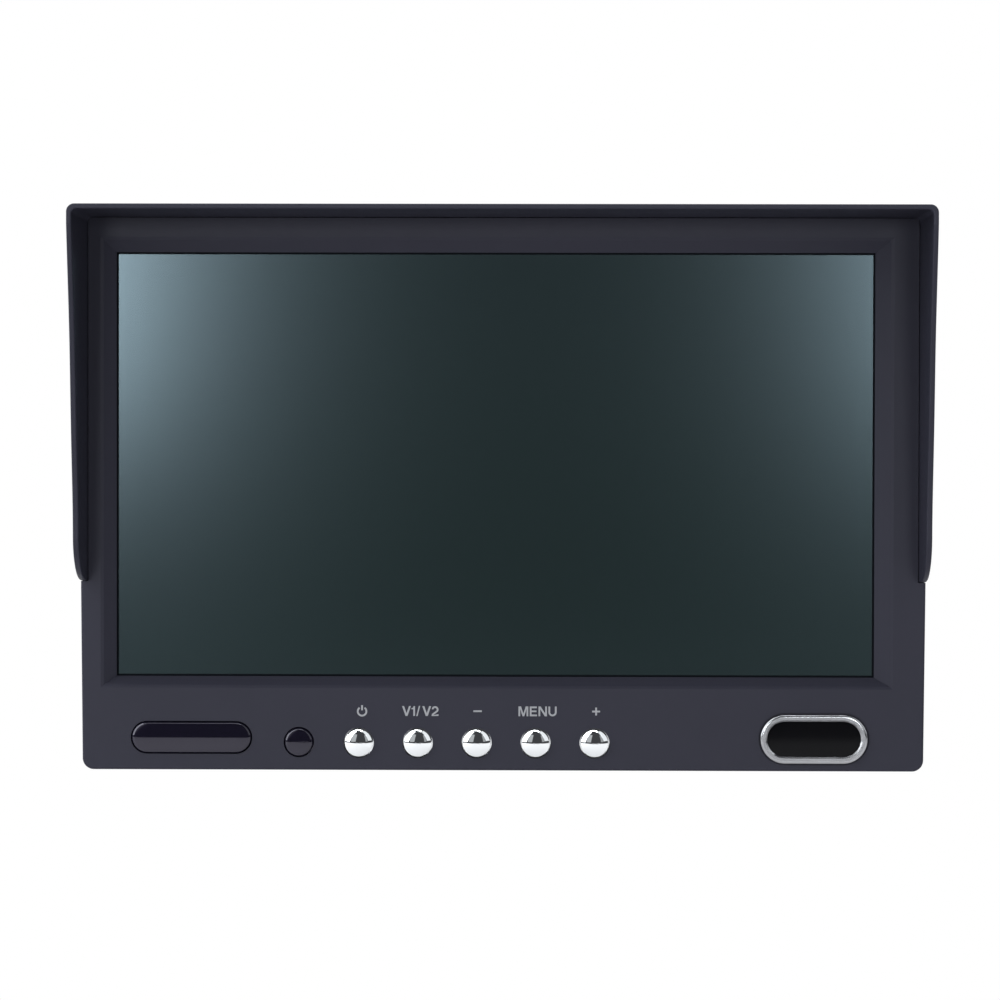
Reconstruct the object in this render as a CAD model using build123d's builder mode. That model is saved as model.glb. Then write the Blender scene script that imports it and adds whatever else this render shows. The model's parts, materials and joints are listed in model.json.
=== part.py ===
from build123d import *
from math import sqrt
import os

os.makedirs("parts", exist_ok=True)

# A 7-inch vehicle monitor with a clip-on sun visor, in millimetres. +Z is up, the screen faces
# -Y and +X is the viewer's right. The origin is the centre of the rear mounting pattern, on the
# face of the rear pad. A "depth" below is measured from the bezel's front face towards the back.

# ---- Housing
width = 172.0
height = 114.0
depth = 26.0
corner_r = 2.3
rim_r = 0.5
taper = 0.35           # how far each side draws in towards the lower edge
taper_z = -20.0
seam = 0.3             # chamfer either side of the joint line
plate = 2.4            # thickness of the bezel's front plate
split = 12.0           # depth of the joint line between the two shells
back = depth - 1.5     # depth of the rear shell's back, with the pad standing proud of it
shell_wall = 1.8
cavity_x = 82.9        # half width of the cavity
cavity_top = 53.95
cavity_bottom = -55.2
cavity_r = 1.5
lip_gap = 0.15
lip_wall = 1.2
lip_length = 1.5
rear_edge_r = 3.0

# ---- Screen
screen_w = 154.6
screen_h = 86.5
screen_x = -1.6
screen_z = 5.25
bevel_left = 2.7
bevel_right = 3.4
bevel_top = 2.7
bevel_bottom = 1.9
bevel_depth = 2.0
bevel_soft = 0.35      # a shallower facet softens the bevel's outer edge
bevel_soft_depth = 0.2
panel_w = 161.0
panel_h = 93.0
panel_x = screen_x
panel_z = 5.0
gasket_t = 0.5
panel_t = 4.5
tray_t = 0.4
glass_t = 1.5
polariser_t = 0.2

# ---- Sun visor
visor_reach = 24.0     # how far the roof stands out in front of the bezel
visor_wall = 1.4
visor_lip_wall = 1.0
visor_grip = 8.0       # how far the visor slips back over the bezel
visor_low = -18.4      # where the side flaps end
visor_gap = 0.15
visor_corner_r = 1.6
visor_rim_r = 0.3
visor_inner_r = 1.1
flap_reach = 13.4      # the flap's depth where its rounded lower corner starts
flap_corner_h = 9.4

# ---- Controls along the bottom edge
button_pitch = 12.02
button_first_x = -29.3
button_z = -51.4
button_names = ["power", "source", "minus", "menu", "plus"]
button_r = 2.75
button_hole_r = 3.1
button_rise = 0.45     # straight side that shows in front of the face
button_dome = 1.05
crown_flat = 0.05      # radius of the small flat in the middle of every crown
button_flange_r = 3.8
button_flange_t = 0.8
button_stem_r = 1.5
button_gap = 0.1
switch_size = 6.0
switch_front = 5.0
switch_back = 8.5
plunger_r = 1.7
plunger_front = 4.2
plunger_back = 5.9
window_x = -63.4
window_z = -50.4
window_w = 24.8
window_h = 6.7
window_gap = 0.13
window_crown = 0.08    # how far the lenses bulge
window_stand = 0.6     # how far their middle stands in front of the face
window_roll = 0.9      # rounding of their edge
window_flange_w = 20.0
window_flange_h = 9.4
lens_flange_t = 0.8
sensor_x = -41.5
sensor_z = -51.3
sensor_hole_r = 3.1
badge_x = 63.4
badge_z = -50.4
badge_w = 22.0
badge_h = 10.1
badge_band = 1.45
badge_proud = 0.8
badge_seat = 0.3       # depth of the recess the badge sits in
badge_seat_gap = 0.25
badge_inner_edge = 0.3
badge_outer_r = 0.6
badge_pin_x = 6.0
badge_pin_r = 0.7
key_board_x = -21.5
key_board_w = 101.0
key_board_h = 8.4
key_board_z = -50.6
key_board_t = 1.2
key_post_x = [-48.4, 25.6]
key_post_r = 2.0

# ---- Inside
boss_x = 79.3
boss_low_z = -50.0
boss_high_z = 50.2
boss_r = 3.2
boss_pilot_r = 1.3
post_pilot_r = 0.9
carrier_post_x = 77.3
carrier_post_z = -44.8
carrier_front = 7.5
carrier_t = 0.8
board_w = 112.0
board_h = 66.0
board_z = 2.0
board_front = 13.0
board_t = 1.6
standoff_x = 50.0
standoff_z = 28.0
flex_z = -37.0
ribbon_x = -36.0
speaker_x = -66.0
speaker_z = -24.0
speaker_r = 12.0
grille_r = 0.9
grille_pitch = 3.0
slot_bank_x = 46.0      # the cooling slots
slot_bank_z = 40.0
slot_pitch = 4.6
slot_count = 11
slot_length = 12.0
slot_width = 2.0
socket_x = 46.0
socket_z = -14.5
socket_r = 6.5

# ---- Rear mounting pattern: four M4 inserts at the common 38.1 by 30.17 spacing
pattern_w = 38.1
pattern_h = 30.17
thread_r = 2.0
insert_r = 2.9
insert_length = 6.5
pad_w = 54.0
pad_h = 46.0
label_w = 60.0
label_h = 18.0
label_z = -38.5
label_recess = 0.3

carrier_back = carrier_front + carrier_t
board_back = board_front + board_t
inner_back = back - shell_wall
rebate_step = visor_wall + visor_gap
rebate_low = visor_low - visor_gap
screen_corner = (screen_x, screen_z)
button_xs = [button_first_x + i * button_pitch for i in range(len(button_names))]
badge_pins = [(badge_x + side * badge_pin_x, badge_z) for side in (-1, 1)]
carrier_posts = [(side * carrier_post_x, carrier_post_z) for side in (-1, 1)]
key_posts = [(x, key_board_z) for x in key_post_x]
boss_places = [(x, z) for x in (-boss_x, boss_x) for z in (boss_low_z, boss_high_z)]
standoff_places = [(x, board_z + z) for x in (-standoff_x, standoff_x) for z in (-standoff_z, standoff_z)]


def behind(d):
    """The plane that faces the viewer, at depth d behind the bezel's front face."""
    return Plane.XZ.offset(depth - d)


def outline(d):
    """The housing's outline at depth d: straight sides that draw in a little below the visor."""
    low_x = width / 2 - taper
    with BuildSketch(behind(d)) as made:
        Polygon(
            (-width / 2, height / 2), (width / 2, height / 2), (width / 2, taper_z),
            (low_x, -height / 2), (-low_x, -height / 2), (-width / 2, taper_z), align=None)
        corners = made.vertices().group_by(Axis.Z)
        fillet(corners[0] + corners[-1], corner_r)
    return made.sketch


def save(piece, name):
    piece.part.label = name
    export_step(piece.part, f"parts/{name}.step")


def block(size_x, size_z, front, rear, places=((0, 0),), corner=0.0):
    """Identical rectangular blocks between two depths."""
    with BuildPart() as made:
        with BuildSketch(behind(front)):
            with Locations(*places):
                if corner:
                    RectangleRounded(size_x, size_z, corner)
                else:
                    Rectangle(size_x, size_z)
        extrude(amount=-(rear - front))
    return made


def disc(radius, front, rear, places=((0, 0),), bore=0.0):
    """Identical round pieces, or tubes, between two depths."""
    with BuildPart() as made:
        with BuildSketch(behind(front)):
            with Locations(*places):
                Circle(radius)
            if bore:
                with Locations(*places):
                    Circle(bore, mode=Mode.SUBTRACT)
        extrude(amount=-(rear - front))
    return made


def screws(places, seat, head_r, head_h, shank_r, length):
    """Pan-head screws driven from the back, each head resting on the depth `seat`."""
    with BuildPart() as made:
        with BuildSketch(behind(seat)):
            with Locations(*places):
                Circle(head_r)
        extrude(amount=-head_h)
        fillet(made.faces().filter_by(Axis.Y).group_by(Axis.Y)[-1].edges(), head_h * 0.35)
        with BuildSketch(behind(seat)):
            with Locations(*places):
                Circle(shank_r)
        extrude(amount=length)
        with BuildSketch(behind(seat + head_h)):
            with Locations(*places):
                Rectangle(head_r * 1.1, head_r * 0.28)
                Rectangle(head_r * 0.28, head_r * 1.1)
        extrude(amount=head_h * 0.5, mode=Mode.SUBTRACT)
    return made


# ---- Front bezel: the front plate with its window, a shallow rim and the bosses behind it
with BuildPart() as front_bezel:
    extrude(outline(0), amount=-split)
    fillet(front_bezel.faces().sort_by(Axis.Y)[0].edges(), rim_r)
    chamfer(front_bezel.faces().sort_by(Axis.Y)[-1].edges(), seam)
    with BuildSketch(behind(plate)):
        with Locations((0, (cavity_top + cavity_bottom) / 2)):
            RectangleRounded(2 * cavity_x, cavity_top - cavity_bottom, cavity_r)
    extrude(amount=-(split - plate), mode=Mode.SUBTRACT)
    # The stepped-back band round the top and sides that the visor slips over
    with BuildSketch(behind(0)):
        with Locations((0, (rebate_low + height / 2 + 1) / 2)):
            Rectangle(width + 2, height / 2 + 1 - rebate_low)
        with Locations((0, (rebate_low - 1 + height / 2 - rebate_step) / 2)):
            Rectangle(
                width - 2 * rebate_step, height / 2 - rebate_step - rebate_low + 1,
                mode=Mode.SUBTRACT)
    extrude(amount=-(visor_grip + visor_gap), mode=Mode.SUBTRACT)
    # The bevelled window, wider at the front face than at the panel, with a softened outer edge
    left_over = 1 - bevel_soft_depth / bevel_depth
    window_steps = [(0, 1, bevel_soft), (bevel_soft_depth, left_over, 0), (bevel_depth, 0, 0)]
    for nearer, further in zip(window_steps, window_steps[1:]):
        for d, part_of_bevel, extra in (nearer, further):
            with BuildSketch(behind(d)):
                with Locations((
                        screen_x + part_of_bevel * (bevel_right - bevel_left) / 2,
                        screen_z + part_of_bevel * (bevel_top - bevel_bottom) / 2)):
                    Rectangle(
                        screen_w + part_of_bevel * (bevel_left + bevel_right) + 2 * extra,
                        screen_h + part_of_bevel * (bevel_top + bevel_bottom) + 2 * extra)
        loft(ruled=True, mode=Mode.SUBTRACT)
    with BuildSketch(behind(bevel_depth)):
        with Locations(screen_corner):
            Rectangle(screen_w, screen_h)
    extrude(amount=-(plate - bevel_depth), mode=Mode.SUBTRACT)
    # Holes for the controls and for the badge's pins
    with BuildSketch(behind(0)):
        with Locations(*[(x, button_z) for x in button_xs]):
            Circle(button_hole_r)
        with Locations((sensor_x, sensor_z)):
            Circle(sensor_hole_r)
        with Locations((window_x, window_z)):
            SlotOverall(window_w, window_h)
        with Locations(*badge_pins):
            Circle(badge_pin_r + 0.1)
    extrude(amount=-plate, mode=Mode.SUBTRACT)
    with BuildSketch(behind(0)):
        with Locations((badge_x, badge_z)):
            SlotOverall(badge_w + 2 * badge_seat_gap, badge_h + 2 * badge_seat_gap)
    extrude(amount=-badge_seat, mode=Mode.SUBTRACT)
    # Bosses for the four housing screws: full length below the panel, and behind it above
    with BuildSketch(behind(plate)):
        with Locations(*[(x, z) for x, z in boss_places if z < 0]):
            Circle(boss_r)
        with Locations(*carrier_posts):
            Circle(key_post_r)
    extrude(amount=-(carrier_front - plate))
    with BuildSketch(behind(carrier_front)):
        with Locations(*[(x, z) for x, z in boss_places if z < 0]):
            Circle(boss_r)
    extrude(amount=-(split - carrier_front))
    with BuildSketch(behind(carrier_back + 0.1)):
        with Locations(*[(x, z) for x, z in boss_places if z > 0]):
            Circle(boss_r)
        with Locations(*[(side * (boss_x + 2.1), boss_high_z + 2.1) for side in (-1, 1)]):
            Rectangle(4.2, 4.2)
        # Ledges on the top wall that hook over the panel carrier
        with Locations((-50, cavity_top - 1.2), (0, cavity_top - 1.2), (50, cavity_top - 1.2)):
            Rectangle(12, 3.0)
    extrude(amount=-(split - carrier_back - 0.6))
    # Posts for the key board
    with BuildSketch(behind(plate)):
        with Locations(*key_posts):
            Circle(key_post_r)
    extrude(amount=-(switch_back - plate))
    # Ribs that locate the panel's lower edge
    with BuildSketch(behind(plate)):
        with Locations((-45, panel_z - panel_h / 2 - 0.8), (45, panel_z - panel_h / 2 - 0.8)):
            Rectangle(30, 1.0)
    extrude(amount=-(carrier_front - plate - 0.3))
    # Pilot holes
    with BuildSketch(behind(split)):
        with Locations(*boss_places):
            Circle(boss_pilot_r)
    extrude(amount=split - carrier_back - 0.6, mode=Mode.SUBTRACT)
    with BuildSketch(behind(switch_back)):
        with Locations(*key_posts):
            Circle(post_pilot_r)
    extrude(amount=4.5, mode=Mode.SUBTRACT)
    with BuildSketch(behind(carrier_front)):
        with Locations(*carrier_posts):
            Circle(post_pilot_r)
    extrude(amount=3.6, mode=Mode.SUBTRACT)
save(front_bezel, "front_bezel")


# ---- Sun visor: a roof and two side flaps that slip over the bezel
def on_outside(edge):
    return abs(edge.center().X) > width / 2 - 0.6 or edge.center().Z > height / 2 - 0.6


with BuildPart() as sun_visor:
    with BuildSketch(behind(visor_grip)):
        Rectangle(width, height)
    extrude(amount=visor_grip + visor_reach)
    top_corners = sun_visor.edges().filter_by(Axis.Y).group_by(Axis.Z)[-1]
    fillet(top_corners, visor_corner_r)
    # The straight inside of the part that grips the bezel
    with BuildSketch(behind(visor_grip)):
        with Locations((0, -visor_wall)):
            Rectangle(width - 2 * visor_wall, height)
    extrude(amount=visor_grip, mode=Mode.SUBTRACT)
    # The drafted inside in front of it, with rounded upper corners
    with BuildSketch(behind(0)):
        with Locations((0, -visor_wall)):
            RectangleRounded(width - 2 * visor_wall, height, visor_inner_r)
    with BuildSketch(behind(-visor_reach)):
        with Locations((0, -visor_lip_wall)):
            RectangleRounded(width - 2 * visor_lip_wall, height, visor_inner_r)
    loft(ruled=True, mode=Mode.SUBTRACT)
    # The side outline: a roof that reaches furthest, flaps swept back in one long curve and a
    # rounded lower corner
    with BuildSketch(Plane.YZ) as side_outline:
        with BuildLine():
            face = -depth
            corner_z = visor_low + flap_corner_h
            lower = EllipticalCenterArc(
                (face, corner_z), flap_reach, flap_corner_h, start_angle=180, arc_size=90)
            sweep_back = Spline(
                (face - visor_reach, height / 2 - 4),
                (face - 0.79 * visor_reach, 31),
                (face - 0.675 * visor_reach, 11),
                lower @ 0,
                tangents=[(0.2, -1), (0, -1)],
            )
            Polyline(
                lower @ 1,
                (face + visor_grip, visor_low),
                (face + visor_grip, height / 2),
                (face - visor_reach, height / 2),
                sweep_back @ 0,
            )
        make_face()
    extrude(amount=width / 2, both=True, mode=Mode.INTERSECT)
    # Soften the rim, inside edge first
    for outside in (False, True):
        rim_faces = sun_visor.faces().filter_by(lambda f: f.normal_at().Y < -0.2)
        rim_edges = rim_faces.edges().filter_by(lambda e: e.length > 1.5)
        fillet(rim_edges.filter_by(lambda e: on_outside(e) == outside), visor_rim_r)
save(sun_visor, "sun_visor")

# ---- Rear shell
with BuildPart() as rear_shell:
    extrude(outline(split), amount=-(back - split))
    fillet(rear_shell.faces().sort_by(Axis.Y)[-1].edges(), rear_edge_r)
    chamfer(rear_shell.faces().sort_by(Axis.Y)[0].edges(), seam)
    with BuildSketch(behind(split)):
        with Locations((0, (cavity_top + cavity_bottom) / 2)):
            RectangleRounded(2 * cavity_x, cavity_top - cavity_bottom, cavity_r)
    extrude(amount=-(inner_back - split), mode=Mode.SUBTRACT)
    with BuildSketch(behind(back)):
        RectangleRounded(pad_w, pad_h, 4.0)
    extrude(amount=-(depth - back))
    # A lip that drops inside the bezel's rim
    with BuildSketch(behind(split - lip_length)):
        with Locations((0, (cavity_top + cavity_bottom) / 2)):
            RectangleRounded(
                2 * (cavity_x - lip_gap), cavity_top - cavity_bottom - 2 * lip_gap, cavity_r)
            Rectangle(
                2 * (cavity_x - lip_gap - lip_wall),
                cavity_top - cavity_bottom - 2 * (lip_gap + lip_wall), mode=Mode.SUBTRACT)
        with Locations(*boss_places):
            Circle(boss_r + 2.2, mode=Mode.SUBTRACT)
        with Locations((-50, cavity_top), (0, cavity_top), (50, cavity_top)):
            Rectangle(14, 6.0, mode=Mode.SUBTRACT)
    extrude(amount=-(lip_length + 1.0))
    with BuildSketch(behind(split + 1.0)):
        with Locations((0, (cavity_top + cavity_bottom) / 2)):
            RectangleRounded(2 * cavity_x + 0.4, cavity_top - cavity_bottom + 0.4, cavity_r)
            Rectangle(
                2 * (cavity_x - lip_gap - lip_wall),
                cavity_top - cavity_bottom - 2 * (lip_gap + lip_wall), mode=Mode.SUBTRACT)
    extrude(amount=0.6)
    # Columns for the housing screws, the boxes behind the inserts and the speaker's ring
    with BuildSketch(behind(split)):
        with Locations(*boss_places):
            Circle(boss_r + 1.0)
    extrude(amount=-(inner_back - split))
    with BuildSketch(behind(depth - insert_length - 1.2)):
        with GridLocations(pattern_w, pattern_h, 2, 2):
            Circle(insert_r + 2.2)
    extrude(amount=-(inner_back - depth + insert_length + 1.2))
    with BuildSketch(behind(inner_back - 3.6)):
        with Locations((speaker_x, speaker_z)):
            Circle(speaker_r + 1.3)
            Circle(speaker_r + 0.1, mode=Mode.SUBTRACT)
    extrude(amount=-3.6)
    # Screw holes with deep counterbores
    with BuildSketch(behind(split)):
        with Locations(*boss_places):
            Circle(1.7)
    extrude(amount=-(back - split), mode=Mode.SUBTRACT)
    with BuildSketch(behind(back)):
        with Locations(*boss_places):
            Circle(3.1)
    extrude(amount=7.0, mode=Mode.SUBTRACT)
    # Blind holes for the inserts
    with BuildSketch(behind(depth)):
        with GridLocations(pattern_w, pattern_h, 2, 2):
            Circle(insert_r)
    extrude(amount=insert_length, mode=Mode.SUBTRACT)
    # Two banks of cooling slots, the speaker's grille, the socket's hole and the label's recess
    with BuildSketch(behind(back)):
        with Locations(*[(side * slot_bank_x, slot_bank_z) for side in (-1, 1)]):
            with GridLocations(slot_pitch, 1, slot_count, 1):
                SlotOverall(slot_length, slot_width, rotation=90)
        with Locations((speaker_x, speaker_z)):
            Circle(grille_r)
            for ring in (1, 2, 3):
                with PolarLocations(grille_pitch * ring, 6 * ring):
                    Circle(grille_r)
        with Locations((socket_x, socket_z)):
            Circle(socket_r + 0.2)
    extrude(amount=shell_wall, mode=Mode.SUBTRACT)
    with BuildSketch(behind(back)):
        with Locations((0, label_z)):
            RectangleRounded(label_w + 0.4, label_h + 0.4, 1.2)
    extrude(amount=label_recess, mode=Mode.SUBTRACT)
save(rear_shell, "rear_shell")

# ---- Blank rating label in its recess
save(block(label_w, label_h, back - label_recess, back - 0.1, [(0, label_z)], corner=1.0),
     "rating_label")

# ---- Threaded inserts
save(disc(insert_r, depth - insert_length, depth,
          [(x, z) for x in (-pattern_w / 2, pattern_w / 2) for z in (-pattern_h / 2, pattern_h / 2)],
          bore=thread_r), "mount_inserts")


# ---- Crowned lenses: the infra-red window and the light sensor's round lens
def lens_profile(half, whole):
    """Section of a crowned lens with a rolled edge, x outwards from its middle and y forwards."""
    rear = -plate - 0.1
    roll_top = window_stand - window_crown
    with BuildLine() as made:
        flat = Line((0, window_stand), (crown_flat, window_stand))
        crown = TangentArc(flat @ 1, (half - window_roll, roll_top), tangent=(1, 0))
        roll = TangentArc(crown @ 1, (half, roll_top - window_roll), tangent=crown % 1)
        Polyline(roll @ 1, (half, rear), (0, rear))
        if whole:
            mirror(made.line, about=Plane.YZ)
        else:
            Line((0, rear), flat @ 0)
    return make_face(made.line.edges(), mode=Mode.PRIVATE)


def lens(x, z, length, height_out):
    """A stadium-shaped crowned lens: a straight bar with a turned end either side."""
    half = height_out / 2
    straight = (length - height_out) / 2
    with BuildPart() as made:
        for side in sorted({-straight, straight}):
            turned = Plane(origin=(x + side, -depth, z), x_dir=(1, 0, 0), z_dir=(0, 0, -1))
            with BuildSketch(turned):
                add(lens_profile(half, False))
            revolve(axis=Axis((x + side, 0, z), (0, 1, 0)))
        if straight:
            across = Plane(origin=(x, -depth, z), x_dir=(0, 0, 1), z_dir=(1, 0, 0))
            with BuildSketch(across):
                add(lens_profile(half, True))
            extrude(amount=straight, both=True)
    return made


with BuildPart() as ir_window:
    add(lens(window_x, window_z, window_w - 2 * window_gap, window_h - 2 * window_gap).part)
    with BuildSketch(behind(plate + 0.1)):
        with Locations((window_x, window_z)):
            Rectangle(window_flange_w, window_flange_h)
    extrude(amount=-lens_flange_t)
save(ir_window, "ir_window")

with BuildPart() as sensor_lens:
    sensor_out = 2 * (sensor_hole_r - window_gap)
    add(lens(sensor_x, sensor_z, sensor_out, sensor_out).part)
    with BuildSketch(behind(plate + 0.1)):
        with Locations((sensor_x, sensor_z)):
            Circle(sensor_hole_r + 0.7)
    extrude(amount=-lens_flange_t)
save(sensor_lens, "sensor_lens")

# ---- Badge: a bevelled ring round a blank insert, which is pinned through the bezel
with BuildPart() as badge_ring:
    with BuildSketch(behind(badge_seat)):
        with Locations((badge_x, badge_z)):
            SlotOverall(badge_w, badge_h)
            SlotOverall(badge_w - 2 * badge_band, badge_h - 2 * badge_band, mode=Mode.SUBTRACT)
    extrude(amount=badge_seat + badge_proud)
    top = badge_ring.faces().sort_by(Axis.Y)[0]
    fillet(top.outer_wire().edges(), badge_outer_r)
    chamfer(badge_ring.faces().sort_by(Axis.Y)[0].inner_wires()[0].edges(), badge_inner_edge)
save(badge_ring, "badge_ring")

with BuildPart() as badge_insert:
    with BuildSketch(behind(badge_seat)):
        with Locations((badge_x, badge_z)):
            SlotOverall(badge_w - 2 * badge_band - 0.1, badge_h - 2 * badge_band - 0.1)
    extrude(amount=badge_seat + 0.4)
    with BuildSketch(behind(badge_seat)):
        with Locations(*badge_pins):
            Circle(badge_pin_r)
    extrude(amount=-(plate + 0.6 - badge_seat))
save(badge_insert, "badge_insert")

# ---- Display panel, from the front: gasket, polariser, glass cell, light guide, LED bar, tray
panel_front = plate + gasket_t
panel_back = panel_front + panel_t
panel_place = [(panel_x, panel_z)]

with BuildPart() as lcd_gasket:
    with BuildSketch(behind(plate)):
        with Locations(*panel_place):
            Rectangle(panel_w - 1.0, panel_h - 1.0)
        with Locations(screen_corner):
            Rectangle(screen_w + 1.6, screen_h + 1.6, mode=Mode.SUBTRACT)
    extrude(amount=-gasket_t)
save(lcd_gasket, "lcd_gasket")

save(block(screen_w + 1.0, screen_h + 1.0, panel_front - polariser_t, panel_front,
           [screen_corner]), "lcd_polariser")
save(block(panel_w - 1.0, panel_h - 1.0, panel_front, panel_front + glass_t, panel_place), "lcd_glass")
save(block(panel_w - 1.0, panel_h - 4.0, panel_front + glass_t, panel_back - tray_t,
           [(panel_x, panel_z + 1.5)]), "light_guide")
save(block(panel_w - 12.0, 1.8, panel_front + glass_t + 0.2, panel_back - tray_t,
           [(panel_x, panel_z - panel_h / 2 + 1.6)]), "led_bar")

with BuildPart() as lcd_tray:
    with BuildSketch(behind(panel_front)):
        with Locations(*panel_place):
            Rectangle(panel_w, panel_h)
            Rectangle(panel_w - 2 * tray_t, panel_h - 2 * tray_t, mode=Mode.SUBTRACT)
    extrude(amount=-(panel_t - tray_t))
    with BuildSketch(behind(panel_back - tray_t)):
        with Locations(*panel_place):
            Rectangle(panel_w, panel_h)
        with Locations((0, flex_z)):
            Rectangle(42.0, 1.2, mode=Mode.SUBTRACT)
    extrude(amount=-tray_t)
save(lcd_tray, "lcd_tray")

# ---- Steel carrier behind the panel, hooked under the ledges and screwed at its lower corners
with BuildPart() as panel_carrier:
    with BuildSketch(behind(carrier_front)):
        with Locations((0, 2.9)):
            RectangleRounded(164.6, 100.8, 2.0)
        with Locations((0, flex_z + 1.0)):
            Rectangle(44.0, 6.0, mode=Mode.SUBTRACT)
        with Locations((-40, 18), (40, 18)):
            RectangleRounded(52.0, 34.0, 4.0, mode=Mode.SUBTRACT)
        with Locations(*carrier_posts):
            Circle(1.2, mode=Mode.SUBTRACT)
        with Locations(*[(x, z) for x, z in boss_places if z < 0]):
            Circle(boss_r + 0.3, mode=Mode.SUBTRACT)
    extrude(amount=-carrier_t)
save(panel_carrier, "panel_carrier")
save(screws(carrier_posts, carrier_back, 2.2, 1.4, 0.85, 4.2), "carrier_screws")

# ---- Main board on hexagonal standoffs
with BuildPart() as board_standoffs:
    with BuildSketch(behind(carrier_back)):
        with Locations(*standoff_places):
            RegularPolygon(2.7, 6)
    extrude(amount=-(board_front - carrier_back))
    with BuildSketch(behind(board_front)):
        with Locations(*standoff_places):
            Circle(1.1)
    extrude(amount=4.0, mode=Mode.SUBTRACT)
save(board_standoffs, "board_standoffs")

with BuildPart() as main_board:
    with BuildSketch(behind(board_front)):
        with Locations((0, board_z)):
            RectangleRounded(board_w, board_h, 1.5)
        with Locations(*standoff_places):
            Circle(1.3, mode=Mode.SUBTRACT)
    extrude(amount=-board_t)
save(main_board, "main_board")
save(screws(standoff_places, board_back, 2.2, 1.4, 1.0, 5.2), "board_screws")

save(block(20.0, 20.0, board_back, board_back + 1.6, [(-2, 3)]), "video_chip")
save(block(8.0, 6.0, board_back, board_back + 1.2, [(-34, 16), (-34, 4), (28, -2), (24, 24)]),
     "small_chips")
save(disc(3.1, board_back, board_back + 5.4, [(38, 2), (38, 11), (-44, -8)]), "capacitors")
save(block(9.0, 9.0, board_back, board_back + 3.8, [(48, 20), (-30, -20)], corner=1.5), "inductors")

# ---- Display flex: out of the tray's slot, back and up into its connector
flex_back = board_front - 1.5
with BuildPart() as lcd_flex:
    with BuildSketch(Plane.YZ):
        with BuildLine():
            Polyline(
                (panel_back - depth - tray_t, flex_z - 0.15),
                (flex_back - depth + 0.3, flex_z - 0.15),
                (flex_back - depth + 0.3, flex_z + 8.0),
                (flex_back - depth, flex_z + 8.0),
                (flex_back - depth, flex_z + 0.15),
                (panel_back - depth - tray_t, flex_z + 0.15),
                close=True,
            )
        make_face()
    extrude(amount=20.0, both=True)
save(lcd_flex, "lcd_flex")

with BuildPart() as flex_connector:
    with BuildSketch(behind(board_front - 2.4)):
        with Locations((0, flex_z + 9.0)):
            Rectangle(44.0, 4.0)
    extrude(amount=-2.4)
    with BuildSketch(behind(flex_back - 0.05)):
        with Locations((0, flex_z + 7.5)):
            Rectangle(40.4, 1.2)
    extrude(amount=-0.4, mode=Mode.SUBTRACT)
save(flex_connector, "flex_connector")

# ---- Key board with its switches, receiver and light sensor
key_back = switch_back + key_board_t
with BuildPart() as key_board:
    with BuildSketch(behind(switch_back)):
        with Locations((key_board_x, key_board_z)):
            Rectangle(key_board_w, key_board_h)
        with Locations(*key_posts):
            Circle(1.1, mode=Mode.SUBTRACT)
    extrude(amount=-key_board_t)
save(key_board, "key_board")
save(screws(key_posts, key_back, 1.9, 1.2, 0.85, 4.6), "key_board_screws")

with BuildPart() as tact_switches:
    with BuildSketch(behind(switch_front)):
        with Locations(*[(x, button_z) for x in button_xs]):
            RectangleRounded(switch_size, switch_size, 0.6)
    extrude(amount=-(switch_back - switch_front))
    with BuildSketch(behind(switch_front)):
        with Locations(*[(x, button_z) for x in button_xs]):
            Circle(plunger_r + 0.1)
    extrude(amount=-(plunger_back - switch_front + 0.7), mode=Mode.SUBTRACT)
save(tact_switches, "tact_switches")

with BuildPart() as ir_receiver:
    with BuildSketch(behind(switch_back - 3.2)):
        with Locations((window_x, window_z)):
            Rectangle(6.4, 5.8)
    extrude(amount=-3.2)
    with BuildSketch(behind(switch_back - 3.2)):
        with Locations((window_x, window_z)):
            Circle(2.0)
    extrude(amount=1.2)
    fillet(ir_receiver.faces().sort_by(Axis.Y)[0].edges(), 1.1)
save(ir_receiver, "ir_receiver")
save(disc(2.3, 4.4, switch_back, [(sensor_x, sensor_z)]), "light_sensor")

# ---- Flat ribbon from the key board up to the main board, with a connector at each end
ribbon_d = 11.2
ribbon_low = -48.2
ribbon_high = -28.8
with BuildPart() as ribbon_connectors:
    with BuildSketch(behind(key_back)):
        with Locations((ribbon_x, ribbon_low + 0.5)):
            Rectangle(11.0, 3.4)
    extrude(amount=-2.4)
    with BuildSketch(behind(board_front - 2.4)):
        with Locations((ribbon_x, ribbon_high - 0.5)):
            Rectangle(11.0, 3.4)
    extrude(amount=-2.4)
    with BuildSketch(behind(ribbon_d - 0.05)):
        with Locations((ribbon_x, (ribbon_low + ribbon_high) / 2)):
            Rectangle(8.2, ribbon_high - ribbon_low + 0.1)
    extrude(amount=-0.4, mode=Mode.SUBTRACT)
save(ribbon_connectors, "ribbon_connectors")
save(block(8.0, ribbon_high - ribbon_low, ribbon_d, ribbon_d + 0.3,
           [(ribbon_x, (ribbon_low + ribbon_high) / 2)]), "key_ribbon")

# ---- Speaker in its ring on the rear wall, facing the grille
speaker_front = inner_back - 3.2
speaker_place = [(speaker_x, speaker_z)]
with BuildPart() as speaker_frame:
    with BuildSketch(behind(speaker_front)):
        with Locations(*speaker_place):
            Circle(speaker_r)
    extrude(amount=-3.0)
    with BuildSketch(behind(speaker_front + 3.0)):
        with Locations(*speaker_place):
            Circle(speaker_r - 1.2)
    extrude(amount=2.2, mode=Mode.SUBTRACT)
save(speaker_frame, "speaker_frame")

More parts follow.
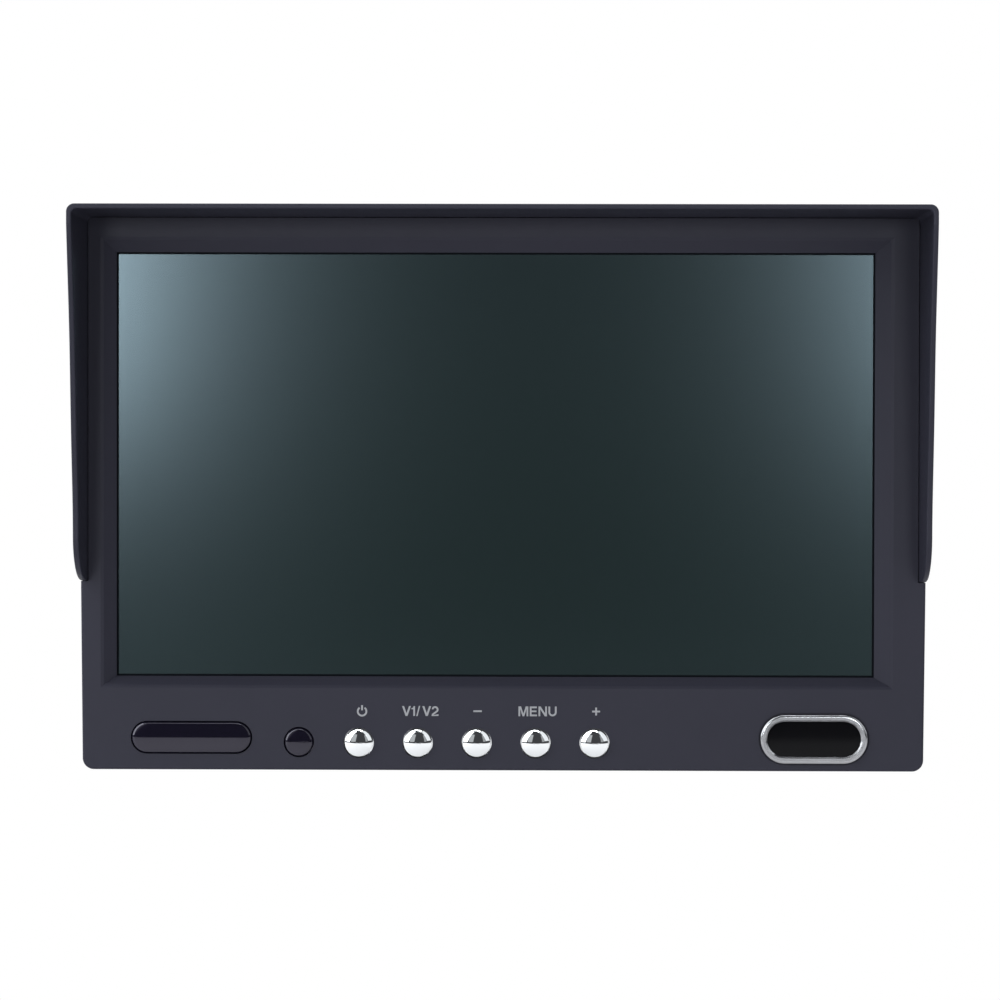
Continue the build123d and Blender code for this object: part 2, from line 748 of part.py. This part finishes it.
with BuildPart() as speaker_cone:
    with BuildSketch(Plane.XY.offset(speaker_z)):
        with BuildLine():
            cone_y = speaker_front - depth + 3.0
            rim_x = speaker_x + speaker_r - 1.4
            Polyline(
                (speaker_x, cone_y - 1.5), (speaker_x + 3.5, cone_y - 1.9), (rim_x, cone_y - 0.5),
                (rim_x, cone_y - 0.2), (speaker_x + 3.6, cone_y - 1.5), (speaker_x, cone_y - 1.0),
                close=True,
            )
        make_face()
    revolve(axis=Axis((speaker_x, 0, speaker_z), (0, 1, 0)))
save(speaker_cone, "speaker_cone")
save(disc(7.0, speaker_front - 3.6, speaker_front, speaker_place), "speaker_magnet")

# ---- Two leads from the speaker's terminals to the main board
lead_r = 0.4
lead_bend_r = 1.0
with BuildPart() as speaker_leads:
    for drop in (0.0, 2.4):
        with BuildLine() as lead:
            FilletPolyline(
                (-56.5, speaker_front - depth, -22.5 - drop),
                (-56.5, speaker_front - depth - 2.5, -22.5 - drop),
                (-52.0, board_back - depth + 2.5, -16.0 - drop),
                (-52.0, board_back - depth, -16.0 - drop),
                radius=lead_bend_r,
            )
        with BuildSketch(Plane(origin=lead.line @ 0, z_dir=lead.line % 0)):
            Circle(lead_r)
        sweep(path=lead.line)
save(speaker_leads, "speaker_leads")

# ---- Cable socket: a round shell on the board with a keyed insert and thirteen contacts
socket_place = (socket_x, socket_z)
socket_face = back + 1.0
contact_rings = [(4.1, 9), (2.0, 4)]


def contact_circles(radius, mode):
    with Locations(socket_place):
        for ring_r, count in contact_rings:
            with PolarLocations(ring_r, count, start_angle=90):
                Circle(radius, mode=mode)


with BuildPart() as socket_shell:
    with BuildSketch(behind(board_back)):
        with Locations(socket_place):
            Rectangle(14.0, 14.0)
            Circle(socket_r - 0.8, mode=Mode.SUBTRACT)
    extrude(amount=-3.0)
    with BuildSketch(behind(board_back + 3.0)):
        with Locations(socket_place):
            Circle(socket_r)
            Circle(socket_r - 0.8, mode=Mode.SUBTRACT)
    extrude(amount=-(socket_face - board_back - 3.0))
save(socket_shell, "socket_shell")

with BuildPart() as socket_insert:
    with BuildSketch(behind(board_back)):
        with Locations(socket_place):
            Circle(socket_r - 0.9)
        contact_circles(0.55, Mode.SUBTRACT)
        with Locations((socket_x, socket_z + socket_r - 1.2)):
            Rectangle(1.6, 1.4, mode=Mode.SUBTRACT)
    extrude(amount=-(socket_face - board_back - 0.6))
save(socket_insert, "socket_insert")

with BuildPart() as socket_contacts:
    with BuildSketch(behind(board_back)):
        contact_circles(0.5, Mode.ADD)
    extrude(amount=-(socket_face - board_back - 1.0))
    with BuildSketch(behind(socket_face - 1.0)):
        contact_circles(0.3, Mode.ADD)
    extrude(amount=4.0, mode=Mode.SUBTRACT)
save(socket_contacts, "socket_contacts")

# ---- Screws that close the housing
save(screws(boss_places, back - 7.0, 2.8, 2.0, 1.25, 8.4), "housing_screws")


# ---- Buttons and the switch plungers that travel with them
def button(x):
    """A domed cap with a flange that stops behind the front plate, and a short stem."""
    flange_front = plate + button_gap
    with BuildPart() as made:
        with BuildSketch(Plane.XY.offset(button_z)):
            with BuildLine():
                tip = (x, -depth - button_rise - button_dome)
                tip_edge = (x + crown_flat, tip[1])
                shoulder = (x + button_r, -depth - button_rise)
                TangentArc(tip_edge, shoulder, tangent=(1, 0))
                Polyline(
                    shoulder,
                    (x + button_r, flange_front - depth),
                    (x + button_flange_r, flange_front - depth),
                    (x + button_flange_r, flange_front + button_flange_t - depth),
                    (x + button_stem_r, flange_front + button_flange_t - depth),
                    (x + button_stem_r, plunger_front - depth),
                    (x, plunger_front - depth),
                    tip,
                    tip_edge,
                )
            make_face()
        revolve(axis=Axis((x, 0, button_z), (0, 1, 0)))
    return made


for name, x in zip(button_names, button_xs):
    save(button(x), f"{name}_button")
    save(disc(plunger_r, plunger_front, plunger_back, [(x, button_z)]), f"{name}_plunger")
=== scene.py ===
"""The finished look of a 7-inch vehicle monitor with a clip-on sun visor.

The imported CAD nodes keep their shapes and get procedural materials; the printed legends over the
buttons are made here. Lengths are metres, in the CAD's frame: the screen faces -Y and +Z is up.
"""
import json
from math import cos, pi, radians, sin

import bmesh
import bpy
from mathutils import Matrix, Vector


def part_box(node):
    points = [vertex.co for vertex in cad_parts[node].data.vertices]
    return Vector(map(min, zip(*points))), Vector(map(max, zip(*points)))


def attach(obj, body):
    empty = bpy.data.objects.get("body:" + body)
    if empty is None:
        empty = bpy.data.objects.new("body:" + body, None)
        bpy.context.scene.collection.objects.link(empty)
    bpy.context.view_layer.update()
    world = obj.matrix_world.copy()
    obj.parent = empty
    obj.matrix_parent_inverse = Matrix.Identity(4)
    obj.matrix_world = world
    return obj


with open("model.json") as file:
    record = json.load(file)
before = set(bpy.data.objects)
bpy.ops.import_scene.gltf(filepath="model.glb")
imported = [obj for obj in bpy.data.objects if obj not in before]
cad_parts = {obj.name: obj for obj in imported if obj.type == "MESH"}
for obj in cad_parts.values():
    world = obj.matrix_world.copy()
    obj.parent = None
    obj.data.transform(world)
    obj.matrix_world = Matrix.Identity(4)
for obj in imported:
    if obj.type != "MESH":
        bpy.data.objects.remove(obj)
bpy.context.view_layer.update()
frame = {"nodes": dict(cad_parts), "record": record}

MM = 0.001
nodes = frame["nodes"]

scene = bpy.context.scene
scene.view_settings.view_transform = "Standard"
scene.view_settings.look = "None"


# ---------------------------------------------------------------- camera
CAMERA_PLACE = (9.78 * MM, -810.6 * MM, 14.70 * MM)
CAMERA_YAW = 0.756
CAMERA_PITCH = -1.209
CAMERA_ROLL = -0.109
CAMERA_LENS = 138.88
SENSOR = 36.0


def add_camera():
    data = bpy.data.cameras.new("camera")
    data.lens = CAMERA_LENS
    data.sensor_width = SENSOR
    data.clip_start = 0.01
    camera = bpy.data.objects.new("camera", data)
    scene.collection.objects.link(camera)
    turn = Matrix.Rotation(radians(CAMERA_YAW), 4, "Z")
    tilt = Matrix.Rotation(radians(90 + CAMERA_PITCH), 4, "X")
    roll = Matrix.Rotation(radians(-CAMERA_ROLL), 4, "Z")
    camera.matrix_world = Matrix.Translation(CAMERA_PLACE) @ turn @ tilt @ roll
    scene.camera = camera


# ---------------------------------------------------------------- studio
FLOOR_Z = -0.10
FLOOR_WIDE = 4.0
FLOOR_FRONT = -0.62        # the table ends a little in front of the object
FLOOR_BACK = 3.0
FLOOR_GLOW = 0.42
FLOOR_COLOR = (0.42, 0.42, 0.43)
FLOOR_ROUGHNESS = 0.9
WORLD_COLOR = (0.9, 0.93, 1.0)
WORLD_STRENGTH = 0.06

# Azimuth from the front, positive to the viewer's right, and elevation, both in degrees; distance
# and size in metres; radiance; colour
COOL = (0.94, 0.98, 1.0)
WHITE = (1.0, 1.0, 1.0)
SOFT_BOXES = {
    "panel_left": (-76, 35, 0.85, (0.80, 1.15), 4.1, COOL),
    "panel_right": (74, 34, 1.05, (0.80, 1.15), 0.95, COOL),
    "left_fill": (-33, 23, 1.05, (0.56, 0.85), 0.46, COOL),
    "right_fill": (45, 20, 1.05, (0.26, 0.70), 0.32, COOL),
    "tent_right": (112, 25, 1.05, (0.9, 0.9), 1.6, COOL),
    "canopy": (-18, 75, 1.1, (0.95, 0.15), 6.5, COOL),
    "overhead": (180, 80, 1.1, (1.4, 0.8), 2.4, WHITE),
    "back_fill": (168, 27, 1.5, (1.2, 0.9), 2.4, WHITE),
}
LAMPS = {
    "lamp_left": (-14.6, 5.5, 1.25, (0.19, 0.20), 29.0, COOL),
    "lamp_right": (13.6, 5.5, 1.25, (0.17, 0.20), 23.5, COOL),
}
LIGHT_AIM = Vector((0, -0.03, 0))
MIRROR_ENDINGS = ("_button", "_lens", "ir_window", "badge_insert")   # not lit by the two lamps


def add_area(name, azimuth, elevation, distance, size, radiance, color):
    """A soft box that faces LIGHT_AIM."""
    data = bpy.data.lights.new(name, "AREA")
    data.shape = "RECTANGLE"
    data.size, data.size_y = size
    data.energy = radiance * pi * size[0] * size[1]
    data.color = color
    light = bpy.data.objects.new(name, data)
    scene.collection.objects.link(light)
    out = Vector((
        sin(radians(azimuth)) * cos(radians(elevation)),
        -cos(radians(azimuth)) * cos(radians(elevation)),
        sin(radians(elevation))))
    light.location = LIGHT_AIM + distance * out
    light.rotation_euler = (-out).to_track_quat("-Z", "Y").to_euler()
    return light


def glow_for_camera(tree, seen, around, target):
    """White wherever the camera looks straight at it, and a plain surface to every other ray."""
    mix = tree.nodes.new("ShaderNodeMixShader")
    rays = tree.nodes.new("ShaderNodeLightPath")
    tree.links.new(rays.outputs["Is Camera Ray"], mix.inputs["Fac"])
    tree.links.new(around, mix.inputs[1])
    tree.links.new(seen, mix.inputs[2])
    tree.links.new(mix.outputs[0], target)


def add_floor():
    mesh = bpy.data.meshes.new("floor")
    half = FLOOR_WIDE / 2
    mesh.from_pydata([(-half, FLOOR_FRONT, 0), (half, FLOOR_FRONT, 0),
                      (half, FLOOR_BACK, 0), (-half, FLOOR_BACK, 0)], [], [(0, 1, 2, 3)])
    floor = bpy.data.objects.new("floor", mesh)
    floor.location.z = FLOOR_Z
    scene.collection.objects.link(floor)
    mat = bpy.data.materials.new("pale_floor")
    mat.use_nodes = True
    tree = mat.node_tree
    bsdf = tree.nodes["Principled BSDF"]
    bsdf.inputs["Base Color"].default_value = (*FLOOR_COLOR, 1)
    bsdf.inputs["Roughness"].default_value = FLOOR_ROUGHNESS
    bsdf.inputs["Emission Color"].default_value = (1, 1, 1, 1)
    bsdf.inputs["Emission Strength"].default_value = FLOOR_GLOW
    white = tree.nodes.new("ShaderNodeEmission")
    glow_for_camera(tree, white.outputs[0], bsdf.outputs[0],
                    tree.nodes["Material Output"].inputs["Surface"])
    mesh.materials.append(mat)


def add_world():
    world = bpy.data.worlds.new("studio")
    scene.world = world
    world.use_nodes = True
    tree = world.node_tree
    tree.nodes.clear()
    out = tree.nodes.new("ShaderNodeOutputWorld")
    seen = tree.nodes.new("ShaderNodeBackground")
    seen.inputs["Color"].default_value = (1, 1, 1, 1)
    around = tree.nodes.new("ShaderNodeBackground")
    around.inputs["Color"].default_value = (*WORLD_COLOR, 1)
    around.inputs["Strength"].default_value = WORLD_STRENGTH
    glow_for_camera(tree, seen.outputs[0], around.outputs[0], out.inputs["Surface"])


def add_studio():
    """A pale table in a tent with a gap in front, light from behind, and two lamps."""
    add_floor()
    add_world()
    for name, (azimuth, elevation, distance, size, radiance, color) in SOFT_BOXES.items():
        add_area(name, azimuth, elevation, distance, size, radiance, color)
    lit = bpy.data.collections.new("lit_by_lamps")
    for name, node in nodes.items():
        if not name.endswith(MIRROR_ENDINGS):
            lit.objects.link(node)
    for name, (azimuth, elevation, distance, size, radiance, color) in LAMPS.items():
        lamp = add_area(name, azimuth, elevation, distance, size, radiance, color)
        lamp.light_linking.receiver_collection = lit


# ---------------------------------------------------------------- materials
def principled(name, color, roughness, metallic=0.0, specular=0.5, coat=0.0):
    mat = bpy.data.materials.new(name)
    mat.use_nodes = True
    bsdf = mat.node_tree.nodes["Principled BSDF"]
    bsdf.inputs["Base Color"].default_value = (*color, 1)
    bsdf.inputs["Roughness"].default_value = roughness
    bsdf.inputs["Metallic"].default_value = metallic
    bsdf.inputs["Specular IOR Level"].default_value = specular
    bsdf.inputs["Coat Weight"].default_value = coat
    bsdf.inputs["Coat Roughness"].default_value = 0.03
    return mat


def noise(tree, scale, detail=2.0, stretch=(1, 1, 1)):
    """Noise in the object's own metres, stretched along an axis where a grain needs it."""
    where = tree.nodes.new("ShaderNodeTexCoord")
    mapping = tree.nodes.new("ShaderNodeMapping")
    mapping.inputs["Scale"].default_value = stretch
    texture = tree.nodes.new("ShaderNodeTexNoise")
    texture.inputs["Scale"].default_value = scale
    texture.inputs["Detail"].default_value = detail
    tree.links.new(where.outputs["Object"], mapping.inputs["Vector"])
    tree.links.new(mapping.outputs["Vector"], texture.inputs["Vector"])
    return texture.outputs["Fac"]


def spread(tree, value, low, high):
    ramp = tree.nodes.new("ShaderNodeMapRange")
    ramp.inputs["To Min"].default_value = low
    ramp.inputs["To Max"].default_value = high
    tree.links.new(value, ramp.inputs["Value"])
    return ramp.outputs["Result"]


def vary_roughness(mat, scale, low, high, stretch=(1, 1, 1)):
    tree = mat.node_tree
    bsdf = tree.nodes["Principled BSDF"]
    tree.links.new(spread(tree, noise(tree, scale, 3.0, stretch), low, high), bsdf.inputs["Roughness"])


def vary_color(mat, scale, dark, light, stretch=(1, 1, 1)):
    tree = mat.node_tree
    mix = tree.nodes.new("ShaderNodeMix")
    mix.data_type = "RGBA"
    mix.inputs["A"].default_value = (*dark, 1)
    mix.inputs["B"].default_value = (*light, 1)
    tree.links.new(noise(tree, scale, 3.0, stretch), mix.inputs["Factor"])
    tree.links.new(mix.outputs["Result"], tree.nodes["Principled BSDF"].inputs["Base Color"])


def add_grain(mat, scale, height, stretch=(1, 1, 1)):
    """A fine bump, its height in metres."""
    tree = mat.node_tree
    bump = tree.nodes.new("ShaderNodeBump")
    bump.inputs["Strength"].default_value = 1.0
    bump.inputs["Distance"].default_value = height
    tree.links.new(noise(tree, scale, 2.0, stretch), bump.inputs["Height"])
    tree.links.new(bump.outputs["Normal"], tree.nodes["Principled BSDF"].inputs["Normal"])


def moulded_plastic(name, dark, light):
    mat = principled(name, dark, 0.5, specular=0.15)
    vary_color(mat, 60, dark, light)
    vary_roughness(mat, 900, 0.44, 0.54)
    add_grain(mat, 4200, 0.012 * MM)
    return mat


def chrome(name):
    mat = principled(name, (0.86, 0.87, 0.88), 0.05, metallic=1.0)
    vary_roughness(mat, 1500, 0.03, 0.07)
    return mat


def satin_metal(name):
    mat = principled(name, (0.37, 0.37, 0.385), 0.3, metallic=1.0)
    vary_roughness(mat, 1600, 0.16, 0.26, (0.06, 1, 1))
    add_grain(mat, 3500, 0.004 * MM, (0.05, 1, 1))
    return mat


def polished(name, color, specular, coat, tint=(1.0, 1.0, 1.0)):
    mat = principled(name, color, 0.08, specular=specular, coat=coat)
    mat.node_tree.nodes["Principled BSDF"].inputs["Specular Tint"].default_value = (*tint, 1)
    vary_roughness(mat, 700, 0.02, 0.05)
    return mat


SCREEN_OVERLAP = 0.5 * MM    # how far the film runs behind the bezel
BORDER_AND_SHADE_MARGIN = 0.4 * MM     # black border that shows inside the bezel: the panel's black matrix, widened with painted shade for the shadow gap at the bezel's edge
SCREEN_COLUMNS = 260.0       # scale of the faint pixel columns
FILM_TINT = (0.66, 0.88, 1.0, 1.0)
FILM_DARK = (0.0050, 0.0098, 0.0088)
FILM_LIGHT = (0.0058, 0.0110, 0.0098)
# Colour of the border band: the panel's black matrix plus painted shade for the shadow gap under the
# bezel's edge
BORDER_AND_SHADE_COLOR = (0.004, 0.005, 0.007)


def screen_film(name):
    """A dim panel under tinted anti-glare film, with faint pixel columns and a matte black border that
    is partly the panel's black matrix and partly painted shade for the shadow gap at the bezel's edge.
    """
    low, high = (Vector(c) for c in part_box("lcd_polariser"))
    middle = (low + high) / 2
    half = (high - low) / 2
    mat = principled(name, FILM_DARK, 0.3)
    tree = mat.node_tree
    film = tree.nodes["Principled BSDF"]
    film.inputs["Specular Tint"].default_value = FILM_TINT
    where = tree.nodes.new("ShaderNodeTexCoord")
    split = tree.nodes.new("ShaderNodeSeparateXYZ")
    tree.links.new(where.outputs["Object"], split.inputs["Vector"])

    def past_border_and_shade(axis, centre, reach):
        """1 outside the lit area along one axis, 0 inside it."""
        offset = tree.nodes.new("ShaderNodeMath")
        offset.operation = "SUBTRACT"
        offset.inputs[1].default_value = centre
        tree.links.new(split.outputs[axis], offset.inputs[0])
        size = tree.nodes.new("ShaderNodeMath")
        size.operation = "ABSOLUTE"
        tree.links.new(offset.outputs[0], size.inputs[0])
        edge = tree.nodes.new("ShaderNodeMath")
        edge.operation = "GREATER_THAN"
        edge.inputs[1].default_value = reach
        tree.links.new(size.outputs[0], edge.inputs[0])
        return edge.outputs[0]

    inset = SCREEN_OVERLAP + BORDER_AND_SHADE_MARGIN
    outside = tree.nodes.new("ShaderNodeMath")
    outside.operation = "MAXIMUM"
    tree.links.new(past_border_and_shade("X", middle.x, half.x - inset), outside.inputs[0])
    tree.links.new(past_border_and_shade("Z", middle.z, half.z - inset), outside.inputs[1])

    columns = tree.nodes.new("ShaderNodeTexWave")
    columns.wave_type = "BANDS"
    columns.bands_direction = "X"
    columns.inputs["Scale"].default_value = SCREEN_COLUMNS
    columns.inputs["Distortion"].default_value = 0.0
    tree.links.new(where.outputs["Object"], columns.inputs["Vector"])
    lit = tree.nodes.new("ShaderNodeMix")
    lit.data_type = "RGBA"
    lit.inputs["A"].default_value = (*FILM_DARK, 1)
    lit.inputs["B"].default_value = (*FILM_LIGHT, 1)
    tree.links.new(columns.outputs["Fac"], lit.inputs["Factor"])
    tree.links.new(lit.outputs["Result"], film.inputs["Base Color"])
    vary_roughness(mat, 2500, 0.16, 0.20)

    # The border band: the black matrix, and painted shade where the bezel's edge shadows the film
    border_and_shade = tree.nodes.new("ShaderNodeBsdfPrincipled")
    border_and_shade.inputs["Base Color"].default_value = (*BORDER_AND_SHADE_COLOR, 1)
    border_and_shade.inputs["Roughness"].default_value = 0.8
    border_and_shade.inputs["Specular IOR Level"].default_value = 0.05
    mix = tree.nodes.new("ShaderNodeMixShader")
    tree.links.new(outside.outputs[0], mix.inputs["Fac"])
    tree.links.new(film.outputs[0], mix.inputs[1])
    tree.links.new(border_and_shade.outputs[0], mix.inputs[2])
    tree.links.new(mix.outputs[0], tree.nodes["Material Output"].inputs["Surface"])
    return mat


def board_mask(name):
    mat = principled(name, (0.01, 0.09, 0.03), 0.35)
    vary_color(mat, 900, (0.008, 0.07, 0.025), (0.015, 0.12, 0.045), (1, 1, 0.2))
    add_grain(mat, 1800, 0.01 * MM)
    return mat


def plain(name, color, roughness, metallic=0.0, scale=1200):
    mat = principled(name, color, roughness, metallic)
    darker = tuple(0.85 * c for c in color)
    vary_color(mat, scale, darker, color)
    vary_roughness(mat, scale, roughness * 0.85, min(1.0, roughness * 1.15))
    return mat


PLASTIC_DARK = (0.0200, 0.0196, 0.0300)
PLASTIC_LIGHT = (0.0234, 0.0230, 0.0345)
SMOKE_TINT = (0.88, 0.84, 1.0)


def make_materials():
    return {
        "case_plastic": moulded_plastic("case_plastic", PLASTIC_DARK, PLASTIC_LIGHT),
        "visor_plastic": moulded_plastic("visor_plastic", PLASTIC_DARK, PLASTIC_LIGHT),
        "chrome_cap": chrome("chrome_cap"),
        "satin_ring": satin_metal("satin_ring"),
        "gloss_black": polished("gloss_black", (0.005, 0.005, 0.006), 0.12, 0.0),
        "clear_lens": polished("clear_lens", (0.006, 0.005, 0.012), 0.56, 0.2, SMOKE_TINT),
        "screen_film": screen_film("screen_film"),
        "screen_glass": plain("screen_glass", (0.01, 0.012, 0.012), 0.1),
        "diffuser": plain("diffuser", (0.75, 0.77, 0.77), 0.5),
        "foam": plain("foam", (0.01, 0.01, 0.01), 0.95, scale=3000),
        "sheet_steel": plain("sheet_steel", (0.55, 0.56, 0.57), 0.35, 1.0),
        "screw_steel": plain("screw_steel", (0.30, 0.30, 0.31), 0.32, 1.0, 2500),
        "brass": plain("brass", (0.72, 0.52, 0.26), 0.28, 1.0, 2500),
        "board_green": board_mask("board_green"),
        "chip_black": plain("chip_black", (0.02, 0.02, 0.021), 0.6, scale=3500),
        "can_aluminium": plain("can_aluminium", (0.75, 0.75, 0.77), 0.3, 1.0),
        "flex_amber": plain("flex_amber", (0.42, 0.17, 0.03), 0.3),
        "connector_white": plain("connector_white", (0.72, 0.71, 0.66), 0.5),
        "switch_black": plain("switch_black", (0.016, 0.016, 0.017), 0.45, scale=2500),
        "magnet_grey": plain("magnet_grey", (0.2, 0.2, 0.21), 0.4, 1.0),
        "cone_paper": plain("cone_paper", (0.03, 0.03, 0.03), 0.8, scale=4000),
        "lead_red": plain("lead_red", (0.4, 0.02, 0.015), 0.45),
        "label_silver": plain("label_silver", (0.42, 0.42, 0.43), 0.4, scale=2500),
    }


def dress_nodes(materials):
    slot_of = {row["node"]: row["material_slot"] for row in frame["record"]["subparts"]}
    for name, node in nodes.items():
        for slot in node.material_slots:
            slot.material = materials[slot_of[name]]


# ---------------------------------------------------------------- printed legends
CAP_HEIGHT = 2.0 * MM
INK_THICKNESS = 0.02 * MM
STROKE = 0.18              # stroke width, and every figure in a glyph, in cap heights
LETTER_GAP = 0.15
LEGEND_RISE = 6.5 * MM     # from a button's centre up to its legend's middle
# How far each legend stands to the right of its button's centre
LEGEND_SHIFT = {"power": 0.70 * MM, "source": 0.55 * MM, "minus": 0.2 * MM, "menu": 0.4 * MM,
                "plus": 0.3 * MM}


def ink_material():
    mat = principled("legend_ink", (0.40, 0.40, 0.42), 0.55)
    vary_color(mat, 4000, (0.37, 0.37, 0.39), (0.43, 0.43, 0.45))
    return mat


def stroked(path):
    """The closed outline of a stroke drawn along a smooth or gently bending path."""
    left = []
    right = []
    for i, (x, z) in enumerate(path):
        ahead = Vector(path[min(i + 1, len(path) - 1)])
        here = Vector((x, z))
        before = Vector(path[max(i - 1, 0)])
        along = ((ahead - here).normalized() + (here - before).normalized()).normalized()
        side = Vector((-along.y, along.x)) * STROKE / 2
        left.append(tuple(here + side))
        right.append(tuple(here - side))
    return left + right[::-1]


def arc(x, z, radius, start, end, steps=16):
    angles = [radians(start + (end - start) * i / steps) for i in range(steps + 1)]
    return [(x + radius * cos(a), z + radius * sin(a)) for a in angles]


def glyph_v():
    width = 0.90
    slant = STROKE * 1.12
    crotch = 1 - (width / 2 - slant) / (width / 2 - slant / 2)
    return width, [(0, 1), (width / 2 - slant / 2, 0), (width / 2 + slant / 2, 0), (width, 1),
                   (width - slant, 1), (width / 2, crotch), (slant, 1)]


def glyph_one():
    width = 0.36
    stem = width - STROKE
    return width, [(stem, 0), (width, 0), (width, 1), (stem + 0.04, 1), (0.16, 0.83),
                   (0, 0.80), (0, 0.68), (stem, 0.68)]


def glyph_slash():
    width = 0.40
    slant = 0.13
    return width, [(0, -0.02), (slant, -0.02), (width, 1.02), (width - slant, 1.02)]


def glyph_two():
    width = 0.70
    radius = width / 2 - STROKE / 2
    bowl = arc(width / 2, 1 - STROKE / 2 - radius, radius, 172, -38)
    outline = stroked(bowl + [(STROKE * 0.62, STROKE * 0.9)])
    half = len(outline) // 2
    foot = [(width, STROKE), (width, 0), (0, 0), (0, STROKE * 0.6)]
    return width, outline[:half] + foot + outline[half:]


def glyph_m():
    width = 1.0
    shoulder = 0.26
    foot = 0.09
    return width, [(0, 0), (STROKE, 0), (STROKE, 0.74), (width / 2 - foot, 0), (width / 2 + foot, 0),
                   (width - STROKE, 0.74), (width - STROKE, 0), (width, 0), (width, 1),
                   (width - shoulder, 1), (width / 2, 0.27), (shoulder, 1), (0, 1)]


def glyph_e():
    width = 0.74
    low = 0.5 - STROKE * 0.42
    high = 0.5 + STROKE * 0.50
    return width, [(0, 0), (width, 0), (width, STROKE), (STROKE, STROKE), (STROKE, low),
                   (width - 0.06, low), (width - 0.06, high), (STROKE, high),
                   (STROKE, 1 - STROKE), (width - 0.02, 1 - STROKE), (width - 0.02, 1), (0, 1)]


def glyph_n():
    width = 0.86
    shoulder = 0.22
    return width, [(0, 0), (STROKE, 0), (STROKE, 0.72), (width - shoulder, 0), (width, 0), (width, 1),
                   (width - STROKE, 1), (width - STROKE, 0.28), (shoulder, 1), (0, 1)]


def glyph_u():
    width = 0.84
    half = STROKE / 2
    radius = width / 2 - half
    return width, stroked([(half, 1)] + arc(width / 2, half + radius, radius, 180, 360, 24)
                          + [(width - half, 1)])


def flat_piece(name, outlines):
    """A thin printed shape from closed outlines in cap heights, centred on its own middle."""
    points = [point for outline in outlines for point in outline]
    middle_x = (min(x for x, z in points) + max(x for x, z in points)) / 2
    middle_z = (min(z for x, z in points) + max(z for x, z in points)) / 2
    mesh = bpy.data.meshes.new(name)
    shape = bmesh.new()
    for outline in outlines:
        corners = [shape.verts.new(((x - middle_x) * CAP_HEIGHT, 0, (z - middle_z) * CAP_HEIGHT))
                   for x, z in outline]
        face = shape.faces.new(corners)
        lifted = bmesh.ops.extrude_face_region(shape, geom=[face])
        for item in lifted["geom"]:
            if isinstance(item, bmesh.types.BMVert):
                item.co.y -= INK_THICKNESS
    bmesh.ops.recalc_face_normals(shape, faces=shape.faces)
    shape.to_mesh(mesh)
    shape.free()
    piece = bpy.data.objects.new(name, mesh)
    scene.collection.objects.link(piece)
    return piece


def word(name, glyphs, gaps):
    """Glyphs set side by side, with the gap that follows each one."""
    outlines = []
    x = 0.0
    for (width, outline), gap in zip(glyphs, gaps):
        outlines.append([(x + px, pz) for px, pz in outline])
        x += width + gap
    return flat_piece(name, outlines)


def bar(width, height, x=0.0, z=0.0):
    return [(x - width / 2, z - height / 2), (x + width / 2, z - height / 2),
            (x + width / 2, z + height / 2), (x - width / 2, z + height / 2)]


def power_mark():
    return flat_piece("legend_power", [stroked(arc(0, 0, 0.44, 125, 415, 36)),
                                       bar(STROKE, 0.52, 0, 0.36)])


def source_mark():
    return word("legend_source", [glyph_v(), glyph_one(), glyph_slash(), glyph_v(), glyph_two()],
                [0.06, 0.12, 0.22, 0.05, 0])


def menu_mark():
    return word("legend_menu", [glyph_m(), glyph_e(), glyph_n(), glyph_u()], [LETTER_GAP] * 4)


def minus_mark():
    return flat_piece("legend_minus", [bar(0.86, STROKE)])


def plus_mark():
    arm = 0.40
    h = STROKE / 2
    return flat_piece("legend_plus", [[
        (-arm, -h), (-h, -h), (-h, -arm), (h, -arm), (h, -h), (arm, -h),
        (arm, h), (h, h), (h, arm), (-h, arm), (-h, h), (-arm, h)]])


def add_legends():
    ink = ink_material()
    face_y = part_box("front_bezel")[0][1]
    legends = {"power": power_mark, "source": source_mark, "minus": minus_mark,
               "menu": menu_mark, "plus": plus_mark}
    for key, draw in legends.items():
        piece = draw()
        low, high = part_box(key + "_button")
        middle = (low[0] + high[0]) / 2
        height = (low[2] + high[2]) / 2
        piece.location = (middle + LEGEND_SHIFT[key], face_y, height + LEGEND_RISE)
        piece.data.materials.clear()
        piece.data.materials.append(ink)
        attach(piece, "housing")


add_camera()
add_studio()
dress_nodes(make_materials())
add_legends()
